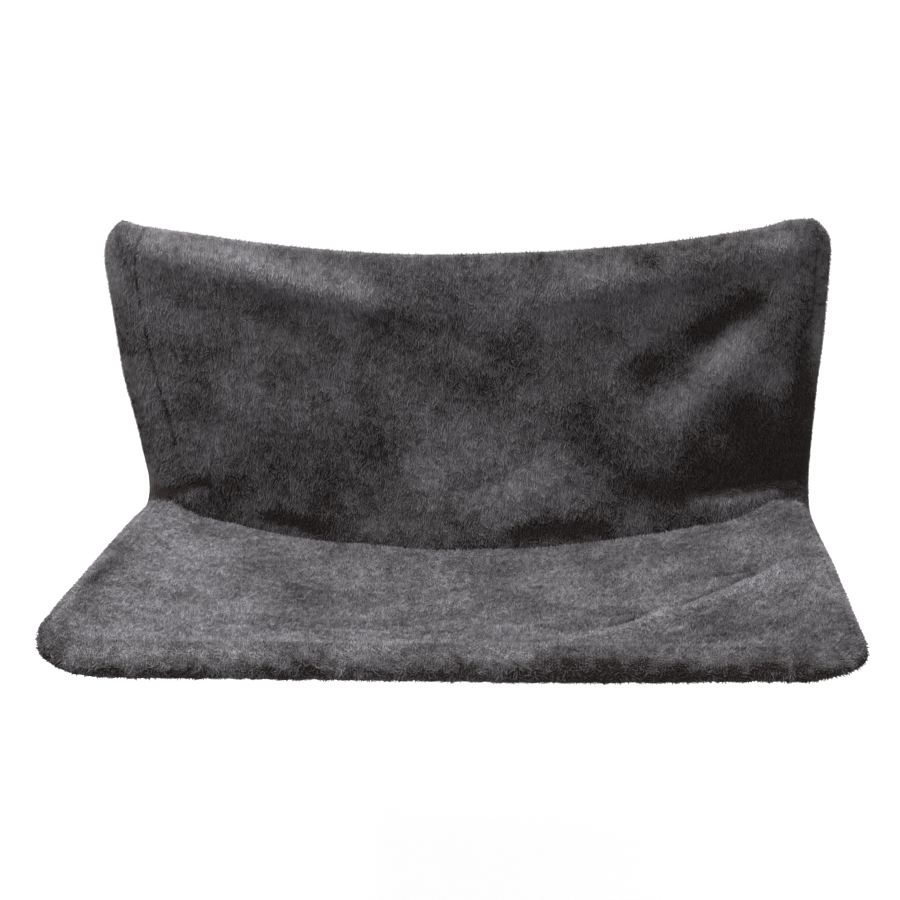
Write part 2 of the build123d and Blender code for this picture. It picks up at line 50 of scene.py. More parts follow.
# The sizes of the frame that the cover is drawn over, as in the CAD
bed = {
    "halfWidth": 220.0,
    "uprightY": -14.0,
    "creaseZ": -138.0,
    "seatDepth": 285.0,
    "seatRise": math.radians(15.0),
    "bendRadius": 22.0,
    "cornerRadius": 45.0,
    "sideSleeveEnd": 220.0,
}

# camera
cameraSetup = {
    "place": (86.4, -977.9, 478.7),
    "azimuth": 5.99,
    "elevation": 30.63,
    "roll": -3.08,
    "lens": 66.0,
    "sensor": 36.0,
}


def addCamera():
    azimuth = math.radians(cameraSetup["azimuth"])
    elevation = math.radians(cameraSetup["elevation"])
    roll = math.radians(cameraSetup["roll"])
    backward = Vector(
        (
            math.sin(azimuth) * math.cos(elevation),
            -math.cos(azimuth) * math.cos(elevation),
            math.sin(elevation),
        )
    )
    right = (-backward).cross(Vector((0, 0, 1))).normalized()
    up = backward.cross(right)
    tiltedRight = math.cos(roll) * right + math.sin(roll) * up
    tiltedUp = math.cos(roll) * up - math.sin(roll) * right
    data = bpy.data.cameras.new("photoCamera")
    data.lens = cameraSetup["lens"]
    data.sensor_width = cameraSetup["sensor"]
    camera = bpy.data.objects.new("photoCamera", data)
    axes = Matrix((tiltedRight, tiltedUp, backward)).transposed()
    camera.matrix_world = Matrix.Translation(Vector(cameraSetup["place"]) * mm) @ axes.to_4x4()
    scene.collection.objects.link(camera)
    scene.camera = camera


addCamera()

# floor, backdrop and lamps
studio = {
    "floorZ": -420.0,
    "floorSize": 9000.0,
    "floorColour": (0.62, 0.62, 0.62, 1.0),
    "floorRoughness": 0.9,
    "cameraGlow": 0.72,
    "worldStrength": 0.42,
    "keyPower": 30.0,
    "keyPlace": (-450.0, -350.0, 1300.0),
    "keySize": 900.0,
    "fillPower": 5.0,
    "fillPlace": (900.0, -1300.0, 500.0),
    "fillSize": 900.0,
    "lampAim": (0.0, -100.0, -60.0),
}


def newMaterial(name):
    material = bpy.data.materials.new(name)
    material.use_nodes = True
    return material, material.node_tree.nodes, material.node_tree.links


# a value is typed into the socket, and another socket is linked to it
def feed(links, socket, value):
    if isinstance(value, (int, float, str, tuple)):
        socket.default_value = value
    else:
        links.new(value, socket)


def feedAll(links, node, values):
    for name, value in values.items():
        feed(links, node.inputs[name], value)
    return node


def addMath(nodes, links, operation, *values):
    node = nodes.new("ShaderNodeMath")
    node.operation = operation
    for socket, value in zip(node.inputs, values):
        feed(links, socket, value)
    return node.outputs[0]


def addNoise(nodes, links, place, scale, detail):
    texture = nodes.new("ShaderNodeTexNoise")
    return feedAll(links, texture, {"Vector": place, "Scale": scale, "Detail": detail})


def addBlend(nodes, links, share, look):
    colour = nodes.new("ShaderNodeMix")
    colour.data_type = "RGBA"
    feedAll(links, colour, {"Factor": share, "A": look["dark"], "B": look["light"]})
    return colour.outputs["Result"]


def addBump(nodes, links, height, distance, strength=1.0):
    bump = nodes.new("ShaderNodeBump")
    feedAll(links, bump, {"Height": height, "Distance": distance * mm, "Strength": strength})
    return bump.outputs["Normal"]


# 1 for rays that show the background: to the camera, mirrored, or through glass
def seenRays(nodes, links):
    rays = nodes.new("ShaderNodeLightPath").outputs
    mirrored = addMath(nodes, links, "MAXIMUM", rays["Is Camera Ray"], rays["Is Glossy Ray"])
    return addMath(nodes, links, "MAXIMUM", mirrored, rays["Is Transmission Ray"])


def addLamp(name):
    data = bpy.data.lights.new(name + "Lamp", "AREA")
    data.shape = "DISK"
    data.size = studio[name + "Size"] * mm
    data.energy = studio[name + "Power"]
    lamp = bpy.data.objects.new(name + "Lamp", data)
    lamp.location = Vector(studio[name + "Place"]) * mm
    aim = Vector(studio["lampAim"]) * mm - lamp.location
    lamp.rotation_euler = aim.to_track_quat("-Z", "Y").to_euler()
    scene.collection.objects.link(lamp)


def addStudio():
    bm = bmesh.new()
    bmesh.ops.create_grid(bm, x_segments=1, y_segments=1, size=studio["floorSize"] * mm / 2)
    bmesh.ops.translate(bm, verts=bm.verts, vec=(0, 0, studio["floorZ"] * mm))
    mesh = bpy.data.meshes.new("floor")
    bm.to_mesh(mesh)
    bm.free()
    floor = bpy.data.objects.new("floor", mesh)
    scene.collection.objects.link(floor)
    material, nodes, links = newMaterial("paleFloor")
    glow = addMath(nodes, links, "MULTIPLY", seenRays(nodes, links), studio["cameraGlow"])
    floorLook = {
        "Base Color": studio["floorColour"],
        "Roughness": studio["floorRoughness"],
        "Emission Color": (1, 1, 1, 1),
        "Emission Strength": glow,
    }
    feedAll(links, nodes["Principled BSDF"], floorLook)
    mesh.materials.append(material)

    world = bpy.data.worlds.new("studioWorld")
    world.use_nodes = True
    nodes, links = world.node_tree.nodes, world.node_tree.links
    strength = nodes.new("ShaderNodeMapRange")
    seen = seenRays(nodes, links)
    feedAll(links, strength, {"Value": seen, "To Min": studio["worldStrength"], "To Max": 1.0})
    light = {"Color": (1, 1, 1, 1), "Strength": strength.outputs["Result"]}
    feedAll(links, nodes["Background"], light)
    scene.world = world

    addLamp("key")
    addLamp("fill")
    scene.view_settings.view_transform = "Standard"


addStudio()
print("camera and studio ready")


# plush: the woven ground and the pile on it share one colour effect, whose nap input also carries
# painted light and shade
plushLook = {
    "dark": (0.0155, 0.0105, 0.01, 1.0),
    "light": (0.345, 0.331, 0.354, 1.0),
    "patchScale": 24.0,
    "patchDetail": 4.0,
    "patchRoughness": 0.6,
    "patchWeight": 0.8,
    "tuftScale": 230.0,
    "tuftDetail": 1.0,
    "tuftWeight": 1.0,
    "tintWeight": 0.17,
    # painted shade: the pile is painted darker at its roots and lighter towards its tips
    "tipWeight": 0.27,
    "darkLevel": 0.675,
    "roughness": 0.8,
    "specular": 0.25,
    "sheen": 0.16,
    "sheenRoughness": 0.4,
}


def makePlushTone():
    group = bpy.data.node_groups.new("plushTone", "ShaderNodeTree")
    face = group.interface
    for name in ("NapAndShade", "Tint", "Along"):
        face.new_socket(name, in_out="INPUT", socket_type="NodeSocketFloat")
    face.new_socket("Color", in_out="OUTPUT", socket_type="NodeSocketColor")
    nodes, links = group.nodes, group.links
    given = nodes.new("NodeGroupInput")
    out = nodes.new("NodeGroupOutput")
    place = nodes.new("ShaderNodeTexCoord").outputs["Object"]
    patches = addNoise(nodes, links, place, plushLook["patchScale"], plushLook["patchDetail"])
    patches.inputs["Roughness"].default_value = plushLook["patchRoughness"]
    tufts = addNoise(nodes, links, place, plushLook["tuftScale"], plushLook["tuftDetail"])
    tufted = addMath(nodes, links, "SUBTRACT", tufts.outputs["Fac"], 0.5)
    tufted = addMath(nodes, links, "MULTIPLY_ADD", tufted, plushLook["tuftWeight"], 1.0)
    tone = addMath(nodes, links, "MULTIPLY", given.outputs["NapAndShade"], tufted)
    for added, weight in (
        (patches.outputs["Fac"], plushLook["patchWeight"]),
        (given.outputs["Tint"], plushLook["tintWeight"]),
        (given.outputs["Along"], plushLook["tipWeight"]),
    ):
        tone = addMath(nodes, links, "MULTIPLY_ADD", added, weight, tone)
    share = addMath(nodes, links, "SUBTRACT", tone, plushLook["darkLevel"])
    links.new(addBlend(nodes, links, share, plushLook), out.inputs["Color"])
    return group


plushTone = makePlushTone()


def addAttribute(nodes, name):
    node = nodes.new("ShaderNodeAttribute")
    node.attribute_name = name
    return node.outputs["Fac"]


def addTone(nodes, links, tint, along):
    tone = nodes.new("ShaderNodeGroup")
    tone.node_tree = plushTone
    # the nap attribute holds the nap together with the painted light and shade
    feedAll(links, tone, {"NapAndShade": addAttribute(nodes, "nap"), "Tint": tint, "Along": along})
    return tone.outputs["Color"]


def makePileMaterial():
    material, nodes, links = newMaterial("plushPile")
    tint, along = addAttribute(nodes, "tint"), addAttribute(nodes, "along")
    pileLook = {
        "Base Color": addTone(nodes, links, tint, along),
        "Roughness": plushLook["roughness"],
        "Specular IOR Level": plushLook["specular"],
        "Sheen Weight": plushLook["sheen"],
        "Sheen Roughness": plushLook["sheenRoughness"],
    }
    feedAll(links, nodes["Principled BSDF"], pileLook)
    return material


knit = {
    "spacing": 1.6,
    "distortion": 0.6,
    "ribDetail": 1.0,
    "grainScale": 500.0,
    "grainDetail": 2.0,
    "depth": 0.35,
    "bump": 0.6,
    # the ground takes the pile's painted root shade from this far up the pile
    "upThePile": 0.1,
    "roughness": 0.9,
    "specular": 0.15,
}


def makeGroundMaterial():
    # the knitted ground of the plush: painted dark with the shade of the pile's roots, ribbed where
    # its back shows
    material, nodes, links = newMaterial("plushGround")
    place = nodes.new("ShaderNodeTexCoord").outputs["Object"]
    grain = addNoise(nodes, links, place, knit["grainScale"], knit["grainDetail"])
    ribs = nodes.new("ShaderNodeTexWave")
    ribs.bands_direction = "X"
    ribScale = 1 / (knit["spacing"] * mm) / math.tau * 2  # about one rib for each spacing
    feedAll(links, ribs, {"Vector": place, "Scale": ribScale, "Detail": knit["ribDetail"]})
    ribs.inputs["Distortion"].default_value = knit["distortion"]
    share = addMath(nodes, links, "MULTIPLY", grain.outputs["Fac"], ribs.outputs["Fac"])
    groundLook = {
        "Base Color": addTone(nodes, links, share, knit["upThePile"]),
        "Roughness": knit["roughness"],
        "Specular IOR Level": knit["specular"],
        "Normal": addBump(nodes, links, share, knit["depth"], knit["bump"]),
    }
    feedAll(links, nodes["Principled BSDF"], groundLook)
    return material


pileMaterial = makePileMaterial()
groundMaterial = makeGroundMaterial()


# the cover's surfaces, in millimetres
def seatPoint(along, above):
    rise = bed["seatRise"]
    y = bed["uprightY"] - along * math.cos(rise) + above * math.sin(rise)
    z = bed["creaseZ"] + along * math.sin(rise) + above * math.cos(rise)
    return y, z


def alongSeat(y):
    return (bed["uprightY"] - y) / math.cos(bed["seatRise"])


def hang(x):
    return 1 - (x / bed["halfWidth"]) ** 2


def smoothShare(share):
    share = max(0.0, min(1.0, share))
    return share * share * (3 - 2 * share)


# a stroke is a straight line that fades away from itself: (start, end, strength, half width)
strokeFade = 1.4  # at its ends, as a share of its half width


def strokeAt(a, b, stroke):
    start, end, strength, width = stroke
    lineA, lineB = end[0] - start[0], end[1] - start[1]
    length = math.hypot(lineA, lineB)
    share = ((a - start[0]) * lineA + (b - start[1]) * lineB) / length**2
    across = abs((a - start[0]) * lineB - (b - start[1]) * lineA) / length
    past = max(0.0, -share, share - 1) * length
    return strength * math.exp(-((across / width) ** 2) - (past / (strokeFade * width)) ** 2)


def strokesAt(a, b, strokes):
    return sum(strokeAt(a, b, stroke) for stroke in strokes)


mergeGap = 0.03


# A closed cloth skin: a grid is laid over the piece by place(across, turn), both from 0 to 1,
# and its meeting edges are merged. finish gives each point its pile, its curl and its nap,
# which also carries painted light and shade.
def clothSkin(name, place, finish, steps):
    bm = bmesh.new()
    bmesh.ops.create_grid(bm, x_segments=steps[0], y_segments=steps[1], size=1)
    layers = [bm.verts.layers.float.new(layer) for layer in ("pile", "nap", "curl")]
    for vert in bm.verts:
        across, turn = (vert.co.x + 1) / 2, (vert.co.y + 1) / 2
        vert.co = Vector(place(across, turn))
        for layer, value in zip(layers, finish(vert.co, turn)):
            vert[layer] = value
        vert.co *= mm
    bmesh.ops.remove_doubles(bm, verts=bm.verts, dist=mergeGap * mm)
    bmesh.ops.recalc_face_normals(bm, faces=bm.faces)
    if bm.calc_volume(signed=True) < 0:
        bmesh.ops.reverse_faces(bm, faces=bm.faces)
    for face in bm.faces:
        face.smooth = True
    mesh = bpy.data.meshes.new(name)
    bm.to_mesh(mesh)
    bm.free()
    mesh.materials.append(groundMaterial)
    piece = bpy.data.objects.new(name, mesh)
    scene.collection.objects.link(piece)
    return piece


# both panels run up one side, round a soft hem and down the other side, which has no pile
topShare, hemShare = 0.47, 0.53
pileEndShare = 0.85  # of the turn round the hem
hemDepth = 8.0


def panelShares(turn):
    if turn <= topShare:
        return turn / topShare, 0.0
    if turn <= hemShare:
        return 1.0, (turn - topShare) / (hemShare - topShare)
    return (1 - turn) / (1 - hemShare), 1.0


def lumpsAt(a, b, lumps):
    height, often, seed = lumps
    return height * noise.noise(Vector((a * often, b * often, seed)))


layerApart = 3.7  # in the noise, for a millimetre of size


# soft lumps of crushed pile: (size in mm, height) of each layer, added up, about 0 on average
def crushedPile(a, b, layers, seed):
    return sum(
        height * noise.noise(Vector((a / size, b / size, seed + layerApart * size)))
        for size, height in layers
    )


seatForm = {
    "steps": (130, 160),
    "halfWidth": 221.0,
    "edge": (186.0, 217.0, 8.9),  # from where it rises to the sleeve, to where, and how high
    "edgeEase": 20.0,
    "frontEnd": 279.0,
    "frontRise": 8.1,
    "cloth": 9.0,
    "rimLead": 14.0,
    "rimShift": 31.0,
    "rimRise": 8.0,
    "rimSag": 28.0,
    "rimSpread": {-1: 0.62, 1: 0.95},
    "cornerRise": (205.0, 4.5, 22.0),
    "bellyPlace": 125.0,
    "bellyRise": 6.0,
    "bellySag": 33.0,
    "lumps": (1.6, 0.02, 3.1),  # height, how often and seed
    "folds": [
        ((-85, 214), (-39, 208), 1.4, 6),
        ((28, 181), (99, 178), 1.6, 7),
        ((69, 242), (122, 194), 4.2, 8),
        ((122, 194), (189, 138), 4.2, 8),
        ((-165, 158), (-168, 175), -2.2, 5),
        ((163, 117), (177, 117), -2.6, 6),
        ((-19, 124), (62, 116), 1.8, 9),
        ((-60, 150), (-10, 152), -1.6, 10),
        ((90, 100), (150, 62), 1.6, 9),
    ],
    # the seat's level is partly nap and partly painted light, painted lighter than the back because
    # it faces up to the light
    "nap": 0.71,
    "crushed": [(30.0, 0.25), (9.0, 0.15)],
    "crushedSeed": 1.5,
    # tone strokes: nap patches, painted highlights on the crests of the folds, and painted shade
    # beside the diagonal fold, in the dents and along the front
    "strokes": [
        ((-85, 214), (-39, 208), 0.16, 5),
        ((28, 181), (99, 178), 0.16, 5),
        ((69, 242), (122, 194), 0.34, 3.5),
        ((122, 194), (189, 138), 0.3, 3.5),
        ((58, 235), (112, 187), -0.32, 6),
        ((112, 187), (178, 132), -0.3, 6),
        ((100, 232), (185, 164), -0.08, 10),
        ((-19, 124), (62, 116), 0.08, 8),
        ((-190, 60), (-160, 200), 0.34, 36),
        ((-218, 113), (-212, 149), -0.2, 4),
        ((-212, 149), (-214, 177), -0.27, 6),
        ((-214, 177), (-209, 211), -0.2, 5),
        ((-207, 228), (-196, 240), -0.2, 6),
        ((-197, 84), (-197, 92), -0.22, 3.5),
        ((-228, 250), (-208, 272), -0.1, 9),
        ((-230, 95), (-226, 180), 0.1, 4),
        ((-120, 60), (-60, 90), 0.12, 24),
        ((-110, 230), (-20, 236), 0.16, 16),
        ((60, 60), (150, 80), -0.08, 24),
        ((-190, 262), (60, 266), 0.16, 12),
        ((-142, 228), (-72, 230), 0.16, 4),
        ((-191, 152), (-189, 172), -0.22, 4),
        ((20, 224), (70, 228), 0.12, 7),
        ((170, 90), (190, 190), 0.08, 20),
        ((-165, 160), (-168, 176), -0.3, 5),
        ((-138, 158), (-137, 164), -0.18, 4),
        ((163, 117), (177, 117), -0.36, 5),
        ((213, 205), (222, 245), -0.18, 8),
        ((-176, 213), (-150, 265), -0.12, 7),
        ((150, 205), (190, 190), -0.14, 13),
        ((-70, 150), (-20, 152), -0.08, 9),
        ((90, 262), (195, 235), -0.15, 22),
        ((-20, 262), (60, 262), -0.05, 14),
        ((70, 292), (190, 292), -0.22, 9),
        ((-80, 292), (50, 292), -0.08, 9),
    ],
}


def rimCrest(x):
    spread = max(0.0, hang(x)) ** seatForm["rimSpread"][1 if x > 0 else -1]
    place, rise, width = seatForm["cornerRise"]
    corner = rise * math.exp(-(((x - place) / width) ** 2))
    along = seatForm["rimLead"] + seatForm["rimShift"] * hang(x)
    return along, seatForm["rimRise"] - seatForm["rimSag"] * spread + corner


def seatTop(x, along):
    # a parabola through the rim's crest, the belly and the front, with folds on it
    a, crestAbove = rimCrest(x)
    b, bellyAbove = seatForm["bellyPlace"], seatForm["bellyRise"] - seatForm["bellySag"] * hang(x)
    c = seatForm["frontEnd"]
    above = (
        crestAbove * (along - b) * (along - c) / ((a - b) * (a - c))
        + bellyAbove * (along - a) * (along - c) / ((b - a) * (b - c))
        + seatForm["frontRise"] * (along - a) * (along - b) / ((c - a) * (c - b))
    )
    edgeGap = min(seatForm["halfWidth"] - abs(x), c - along)
    ease = max(0.0, min(1.0, edgeGap / seatForm["edgeEase"]))
    edgeFrom, edgeTo, edgeAbove = seatForm["edge"]
    above += (edgeAbove - above) * smoothShare((abs(x) - edgeFrom) / (edgeTo - edgeFrom))
    folds = strokesAt(x, along, seatForm["folds"])
    return above + ease * (folds + lumpsAt(x, along, seatForm["lumps"]))


def seatReach(along):
    corner = seatForm["frontEnd"] - (bed["seatDepth"] - bed["cornerRadius"])
    past = max(0.0, along - (seatForm["frontEnd"] - corner))
    return seatForm["halfWidth"] - corner + math.sqrt(max(0.0, corner**2 - past**2))


def clothThickness(cloth, edgeGap):
    return cloth * math.sqrt(max(0.0, min(1.0, edgeGap / hemDepth)))


def seatPlace(across, turn):
    side = 2 * across - 1
    reached, round_ = panelShares(turn)
    frontEnd = seatForm["frontEnd"]
    x = side * seatReach(frontEnd * (1 - reached))
    along = frontEnd - (frontEnd - rimCrest(x)[0]) * reached
    x = side * seatReach(along)
    above = seatTop(x, along)
    edgeGap = min(seatReach(along) - abs(x), frontEnd - along)
    cloth = clothThickness(seatForm["cloth"], edgeGap)
    along -= math.sin(math.pi * round_) * cloth / 2
    above -= cloth / 2 * (1 - math.cos(math.pi * round_))
    y, z = seatPoint(along, above)
    return x, y, z


# the seat's tone: nap, crushed pile, and painted light and shade from its strokes
def seatNapAndShadeAt(x, along):
    crushed = crushedPile(x, along, seatForm["crushed"], seatForm["crushedSeed"])
    return seatForm["nap"] + crushed + strokesAt(x, along, seatForm["strokes"])


def seatFinish(spot, turn):
    pile = 1.0 if panelShares(turn)[1] < pileEndShare else 0.0
    return pile, seatNapAndShadeAt(spot.x, alongSeat(spot.y)), 0.0


backForm = {
    "steps": (150, 160),
    "fineSide": (0.2, 26.0),  # the share of the steps in a strip at the left, and its width
    "fineShare": (0.22, 0.42),
    "halfWidth": 221.0,
    "height": 180.0,
    "faceY": -22.9,
    "fullness": 3.0,
    "barY": -23.8,
    "barEnd": (213.0, 8.0, 2.0),  # past this place, over this width, the cloth may be this far back
    "creaseGap": 2.0,
    "creaseDepth": 7.0,
    "creaseTuck": 6.0,
    "gaps": [(-118.0, 40.0, 7.0), (58.0, 34.0, 7.5)],
    "topZ": {-1: 79.3, 1: 76.0},
    "topMiddle": 52.3,
    "topSpread": {-1: 1.15, 1: 1.0},
    "topCorner": {-1: (14.0, 6.5), 1: (17.0, 8.0)},  # its width and its drop
    "topHump": (202.0, 10.0, 1.8),
    "cloth": 3.4,
    "curve": 4.2,
    "edgeEase": 14.0,
    "lumps": (1.4, 0.022, 7.7),
    "folds": [
        ((-200, 66), (-65, 28), 4.5, 12),
        ((209, 64), (62, 30), 5.5, 12),
        ((-133, 17), (-95, 3), -4.0, 12),
        ((176, 10), (120, -24), -5.0, 12),
        ((195, 2), (140, -52), 4.0, 16),
        ((-30, 2), (36, -8), -2.0, 16),
        ((12, -118), (62, -100), 3.0, 14),
        ((-6, -112), (20, -104), -2.5, 9),
        ((-180, -40), (-60, -75), 3.0, 16),
        ((190, -74), (212, -108), -6.0, 18),
        ((-120, 20), (-40, -30), -2.0, 16),
        ((60, -60), (150, -84), 2.5, 16),
    ],
    "lips": [
        # start, end, top at the start and at the end, how far it stands out
        (142.0, 219.0, -117.0, -114.0, 7.0),
        (-186.0, -219.0, -112.0, -124.0, 5.5),
    ],
    "lipEase": (2.5, 2.6),
    # the back's level is partly nap and partly painted shade, darker than the seat because it faces
    # forward, away from the light above
    "nap": 0.325,
    # painted light: the back grows lighter upwards and darker towards the crease
    "napRise": (0.0013, -60.0),  # for each millimetre above this height
    "crushed": [(20.0, 0.07), (8.0, 0.05)],
    "crushedSeed": 4.5,
    "hemPile": (0.75, 12.0),
    "seam": [(-199, 77), (-206, 66), (-210.5, 50), (-211.5, 20), (-209, -20), (-201, -80)],
    "seamWidth": 1.1,
    "seamDepth": 1.6,
    "seamPile": 0.5,
    "seamNap": 0.36,
    "seamShown": 0.7,
    "seamBreaks": (1.6, 0.12, 9.0),
    # tone strokes: nap patches, painted highlights on fold crests and the lips' top edges, painted
    # shade in the hollows and above the lips, and painted shadow in the crease under the seat's rim
    "strokes": [
        ((152, -121), (204, -118), 0.36, 3),
        ((150, -127), (200, -124), 0.1, 4),
        ((140, -113), (212, -110), -0.3, 3),
        ((-186, -118), (-210, -126), 0.1, 3),
        ((-182, -109), (-214, -121), -0.3, 2.2),
        ((-186, 50), (-150, 62), 0.12, 16),
        ((-196, 68), (-65, 28), 0.37, 11),
        ((-167, 58), (30, 46), 0.08, 12),
        ((209, 64), (62, 32), 0.03, 9),
        ((185, 66), (215, 58), 0.05, 12),
        ((172, -18), (135, -58), 0.27, 14),
        ((12, -118), (60, -104), 0.1, 13),
        ((-32, -68), (0, -72), 0.06, 10),
        ((-200, -50), (-190, -90), 0.05, 12),
        ((-135, 18), (-95, 3), -0.16, 11),
        ((-197, 36), (-183, 25), -0.14, 8),
        ((-30, 2), (36, -8), -0.12, 15),
        ((181, 20), (158, 3), -0.4, 9),
        ((150, -4), (112, -30), -0.2, 11),
        ((219, -30), (216, -85), -0.2, 10),
        ((186, -72), (198, -84), -0.36, 19),
        ((224, 0), (222, -45), 0.14, 4),
        ((162, -98), (200, -108), -0.28, 12),
        ((216, 20), (218, -100), -0.14, 8),
        ((-20, -100), (40, -112), 0.28, 30),
        ((-140, -134), (-106, -139), -0.42, 5),
        ((32, -141), (86, -138), -0.4, 5),
        ((-150, -60), (-190, -90), 0.11, 20),
        ((100, -96), (128, -112), -0.14, 14),
        ((150, 20), (100, 0), -0.08, 14),
        ((113, 52), (124, 50), -0.16, 5),
        ((-6, -113), (20, -104), -0.12, 8),
        ((-60, -60), (-90, -90), -0.06, 12),
        ((90, -120), (150, -108), -0.06, 10),
        ((-218, 60), (-214, 44), -0.14, 4),
        ((-213, 38), (-219, 30), -0.12, 3),
    ],
    "stitches": [((-232, z), (-227, z - 1), -0.4, 1.5) for z in range(-92, -42, 10)],
    "stitchPlace": (-18.0, 3.5),
}


def backFace(x, down):
    side = 1 if x > 0 else -1
    spread = max(0.0, hang(x)) ** backForm["topSpread"][side]
    cornerWidth, cornerDrop = backForm["topCorner"][side]
    past = max(0.0, min(1.0, (abs(x) - backForm["halfWidth"]) / cornerWidth + 1))
    topZ = backForm["topZ"][side]
    topZ += (backForm["topMiddle"] - topZ) * spread - cornerDrop * (1 - math.sqrt(1 - past**2))
    humpPlace, humpWidth, humpRise = backForm["topHump"]
    topZ += humpRise * math.exp(-(((x - humpPlace) / humpWidth) ** 2))
    crestAlong, crestAbove = rimCrest(x)
    noseY, noseZ = seatPoint(crestAlong - seatForm["cloth"] / 2, crestAbove - seatForm["cloth"] / 2)
    # the cloth passes behind the seat's rim with a small gap and ends under it
    gap = backForm["creaseGap"]
    for place, width, more in backForm["gaps"]:
        gap += more * math.exp(-(((x - place) / width) ** 2))
    endZ = noseZ - backForm["creaseDepth"]
    z = topZ + (endZ - topZ) * down
    y = backForm["faceY"] + (noseY + gap - backForm["faceY"]) * down ** backForm["curve"]
    y -= (gap + backForm["creaseTuck"]) * smoothShare((noseZ - z) / backForm["creaseDepth"])
    ease = max(0.0, min(1.0, (backForm["halfWidth"] - abs(x)) / backForm["edgeEase"]))
    full = strokesAt(x, z, backForm["folds"]) + lumpsAt(x, z, backForm["lumps"])
    y -= ease * (full + backForm["fullness"])
    # the cross bars are behind it
    barEnd, easeWidth, behind = backForm["barEnd"]
    y = min(y, backForm["barY"] + behind * smoothShare((abs(x) - barEnd) / easeWidth))
    reachEase, belowEase = backForm["lipEase"]
    for start, end, startTop, endTop, depth in backForm["lips"]:
        reach = (x - start) / (end - start)
        if reach > 0:
            below = startTop + (endTop - startTop) * reach - z
            y -= depth * min(1.0, reach * reachEase) * smoothShare(below / belowEase + 0.5)
    return y, z


# the grid is finer at the left, where the seam is
def backSideways(across):
    half, (fineShare, fineWidth) = backForm["halfWidth"], backForm["fineSide"]
    if across < fineShare:
        return -half + fineWidth * across / fineShare
    return -half + fineWidth + (2 * half - fineWidth) * (across - fineShare) / (1 - fineShare)


# the back's tone: nap, crushed pile, and painted light and shade from its height and its strokes
def backNapAndShade(x, z):
    rise, middleZ = backForm["napRise"]
    nap = backForm["nap"] + rise * (z - middleZ)
    nap += crushedPile(x, z, backForm["crushed"], backForm["crushedSeed"])
    return nap + strokesAt(x, z, backForm["strokes"])


# the seam shows here and there between tufts
def seamAt(x, z):
    route, width = backForm["seam"], backForm["seamWidth"]
    line = max(strokeAt(x, z, (start, end, 1.0, width)) for start, end in zip(route, route[1:]))
    return line * smoothShare(backForm["seamShown"] + lumpsAt(x, z, backForm["seamBreaks"]))


# the rows are closer together in the lowest part, where it meets the seat
def downShare(reached):
    down, (fineHeight, fineRows) = 1 - reached, backForm["fineShare"]
    if down < 1 - fineRows:
        return down * (1 - fineHeight) / (1 - fineRows)
    return 1 - (1 - down) * fineHeight / fineRows


def backPlace(across, turn):
    reached, round_ = panelShares(turn)
    x = backSideways(across)
    y, z = backFace(x, downShare(reached))
    edgeGap = min(backForm["halfWidth"] - abs(x), backForm["height"] * reached)
    cloth = clothThickness(backForm["cloth"], edgeGap)
    y += cloth / 2 * (1 - math.cos(math.pi * round_))
    z += cloth / 2 * math.sin(math.pi * round_)
    if round_ < 0.5:
        y += backForm["seamDepth"] * seamAt(x, z)
    return x, y, z


def backFinish(spot, turn):
    reached, round_ = panelShares(turn)
    least, growth = backForm["hemPile"]
    pile = least + (1 - least) * smoothShare(downShare(reached) * growth)
    seam = seamAt(spot.x, spot.z)
    pile *= 1 - backForm["seamPile"] * seam if round_ < pileEndShare else 0.0
    return pile, backNapAndShade(spot.x, spot.z) - backForm["seamNap"] * seam, 0.0


seatPanel = clothSkin("seatPanel", seatPlace, seatFinish, seatForm["steps"])
backPanel = clothSkin("backPanel", backPlace, backFinish, backForm["steps"])
print("panels ready")


# sleeves: a comma-shaped section follows the tube, its tail towards the panel
sleeveForm = {
    "rowLength": {"upright": 3.6, "front": 2.2},
    "roundSteps": 32,
    "bendSteps": {"upright": 10, "front": 20},
    "radius": 8.0,
    "fullness": (0.04, 0.03),
    "tail": (6.0, 1.3),
    "tailAngle": 62.0,
    "tailWidth": 20.0,
    "tailStart": 16.0,
    "wall": 1.5,
    "topRound": 8.0,
    "topRowShare": 0.1,
    "topPower": 2.4,
    "topReach": -0.8,
    "frontEnd": 217.0,
    "armFade": (222.0, 258.0),
    "armStart": (12.0, 30.0),  # where the upright's pile turns into the seat's, and how soon
    "armDim": 0.06,
    "armPile": (0.7, 0.16),
    "bends": {-1: (-22.0, -130.0, 40.0, 3.0), 1: (-60.0, -126.0, 60.0, 1.9)},
    # painted shade: the roll's front is painted dark underneath, and darker towards the right
    "frontNap": 0.21,
    "rollPile": (0.58, 0.64, 0.4),
    "rollDim": (-60.0, 160.0, 0.15, 0.04),
    "overDim": 0.02,
    "curlPlace": 9.0,
    "curlLumps": (0.17, 1.8, 0.5),
    "curlStart": 0.3,
    # painted light: curls higher up the roll are painted lighter
    "curlLight": 0.13,
    "curlPile": (0.85, 0.3),
    "cornerPush": {-1: 0.4, 1: 7.5},
    "cornerPower": 1.5,
    "underLift": (60.0, 200.0, 0.32),
}
# the outer side of an upright sleeve ends in a full quarter round: (how far its centre lies
# inside the tube's, half width, height), under the sleeve's own top
sleeveTops = {
    "leftSleeve": {"top": 74.3, "corner": (10.0, 23.2, 31.0), "fade": (-85.0, 60.0), "low": 9.4},
    "rightSleeve": {"top": 69.8, "corner": (10.0, 20.4, 21.0), "fade": (-60.0, 70.0), "low": 8.2},
}


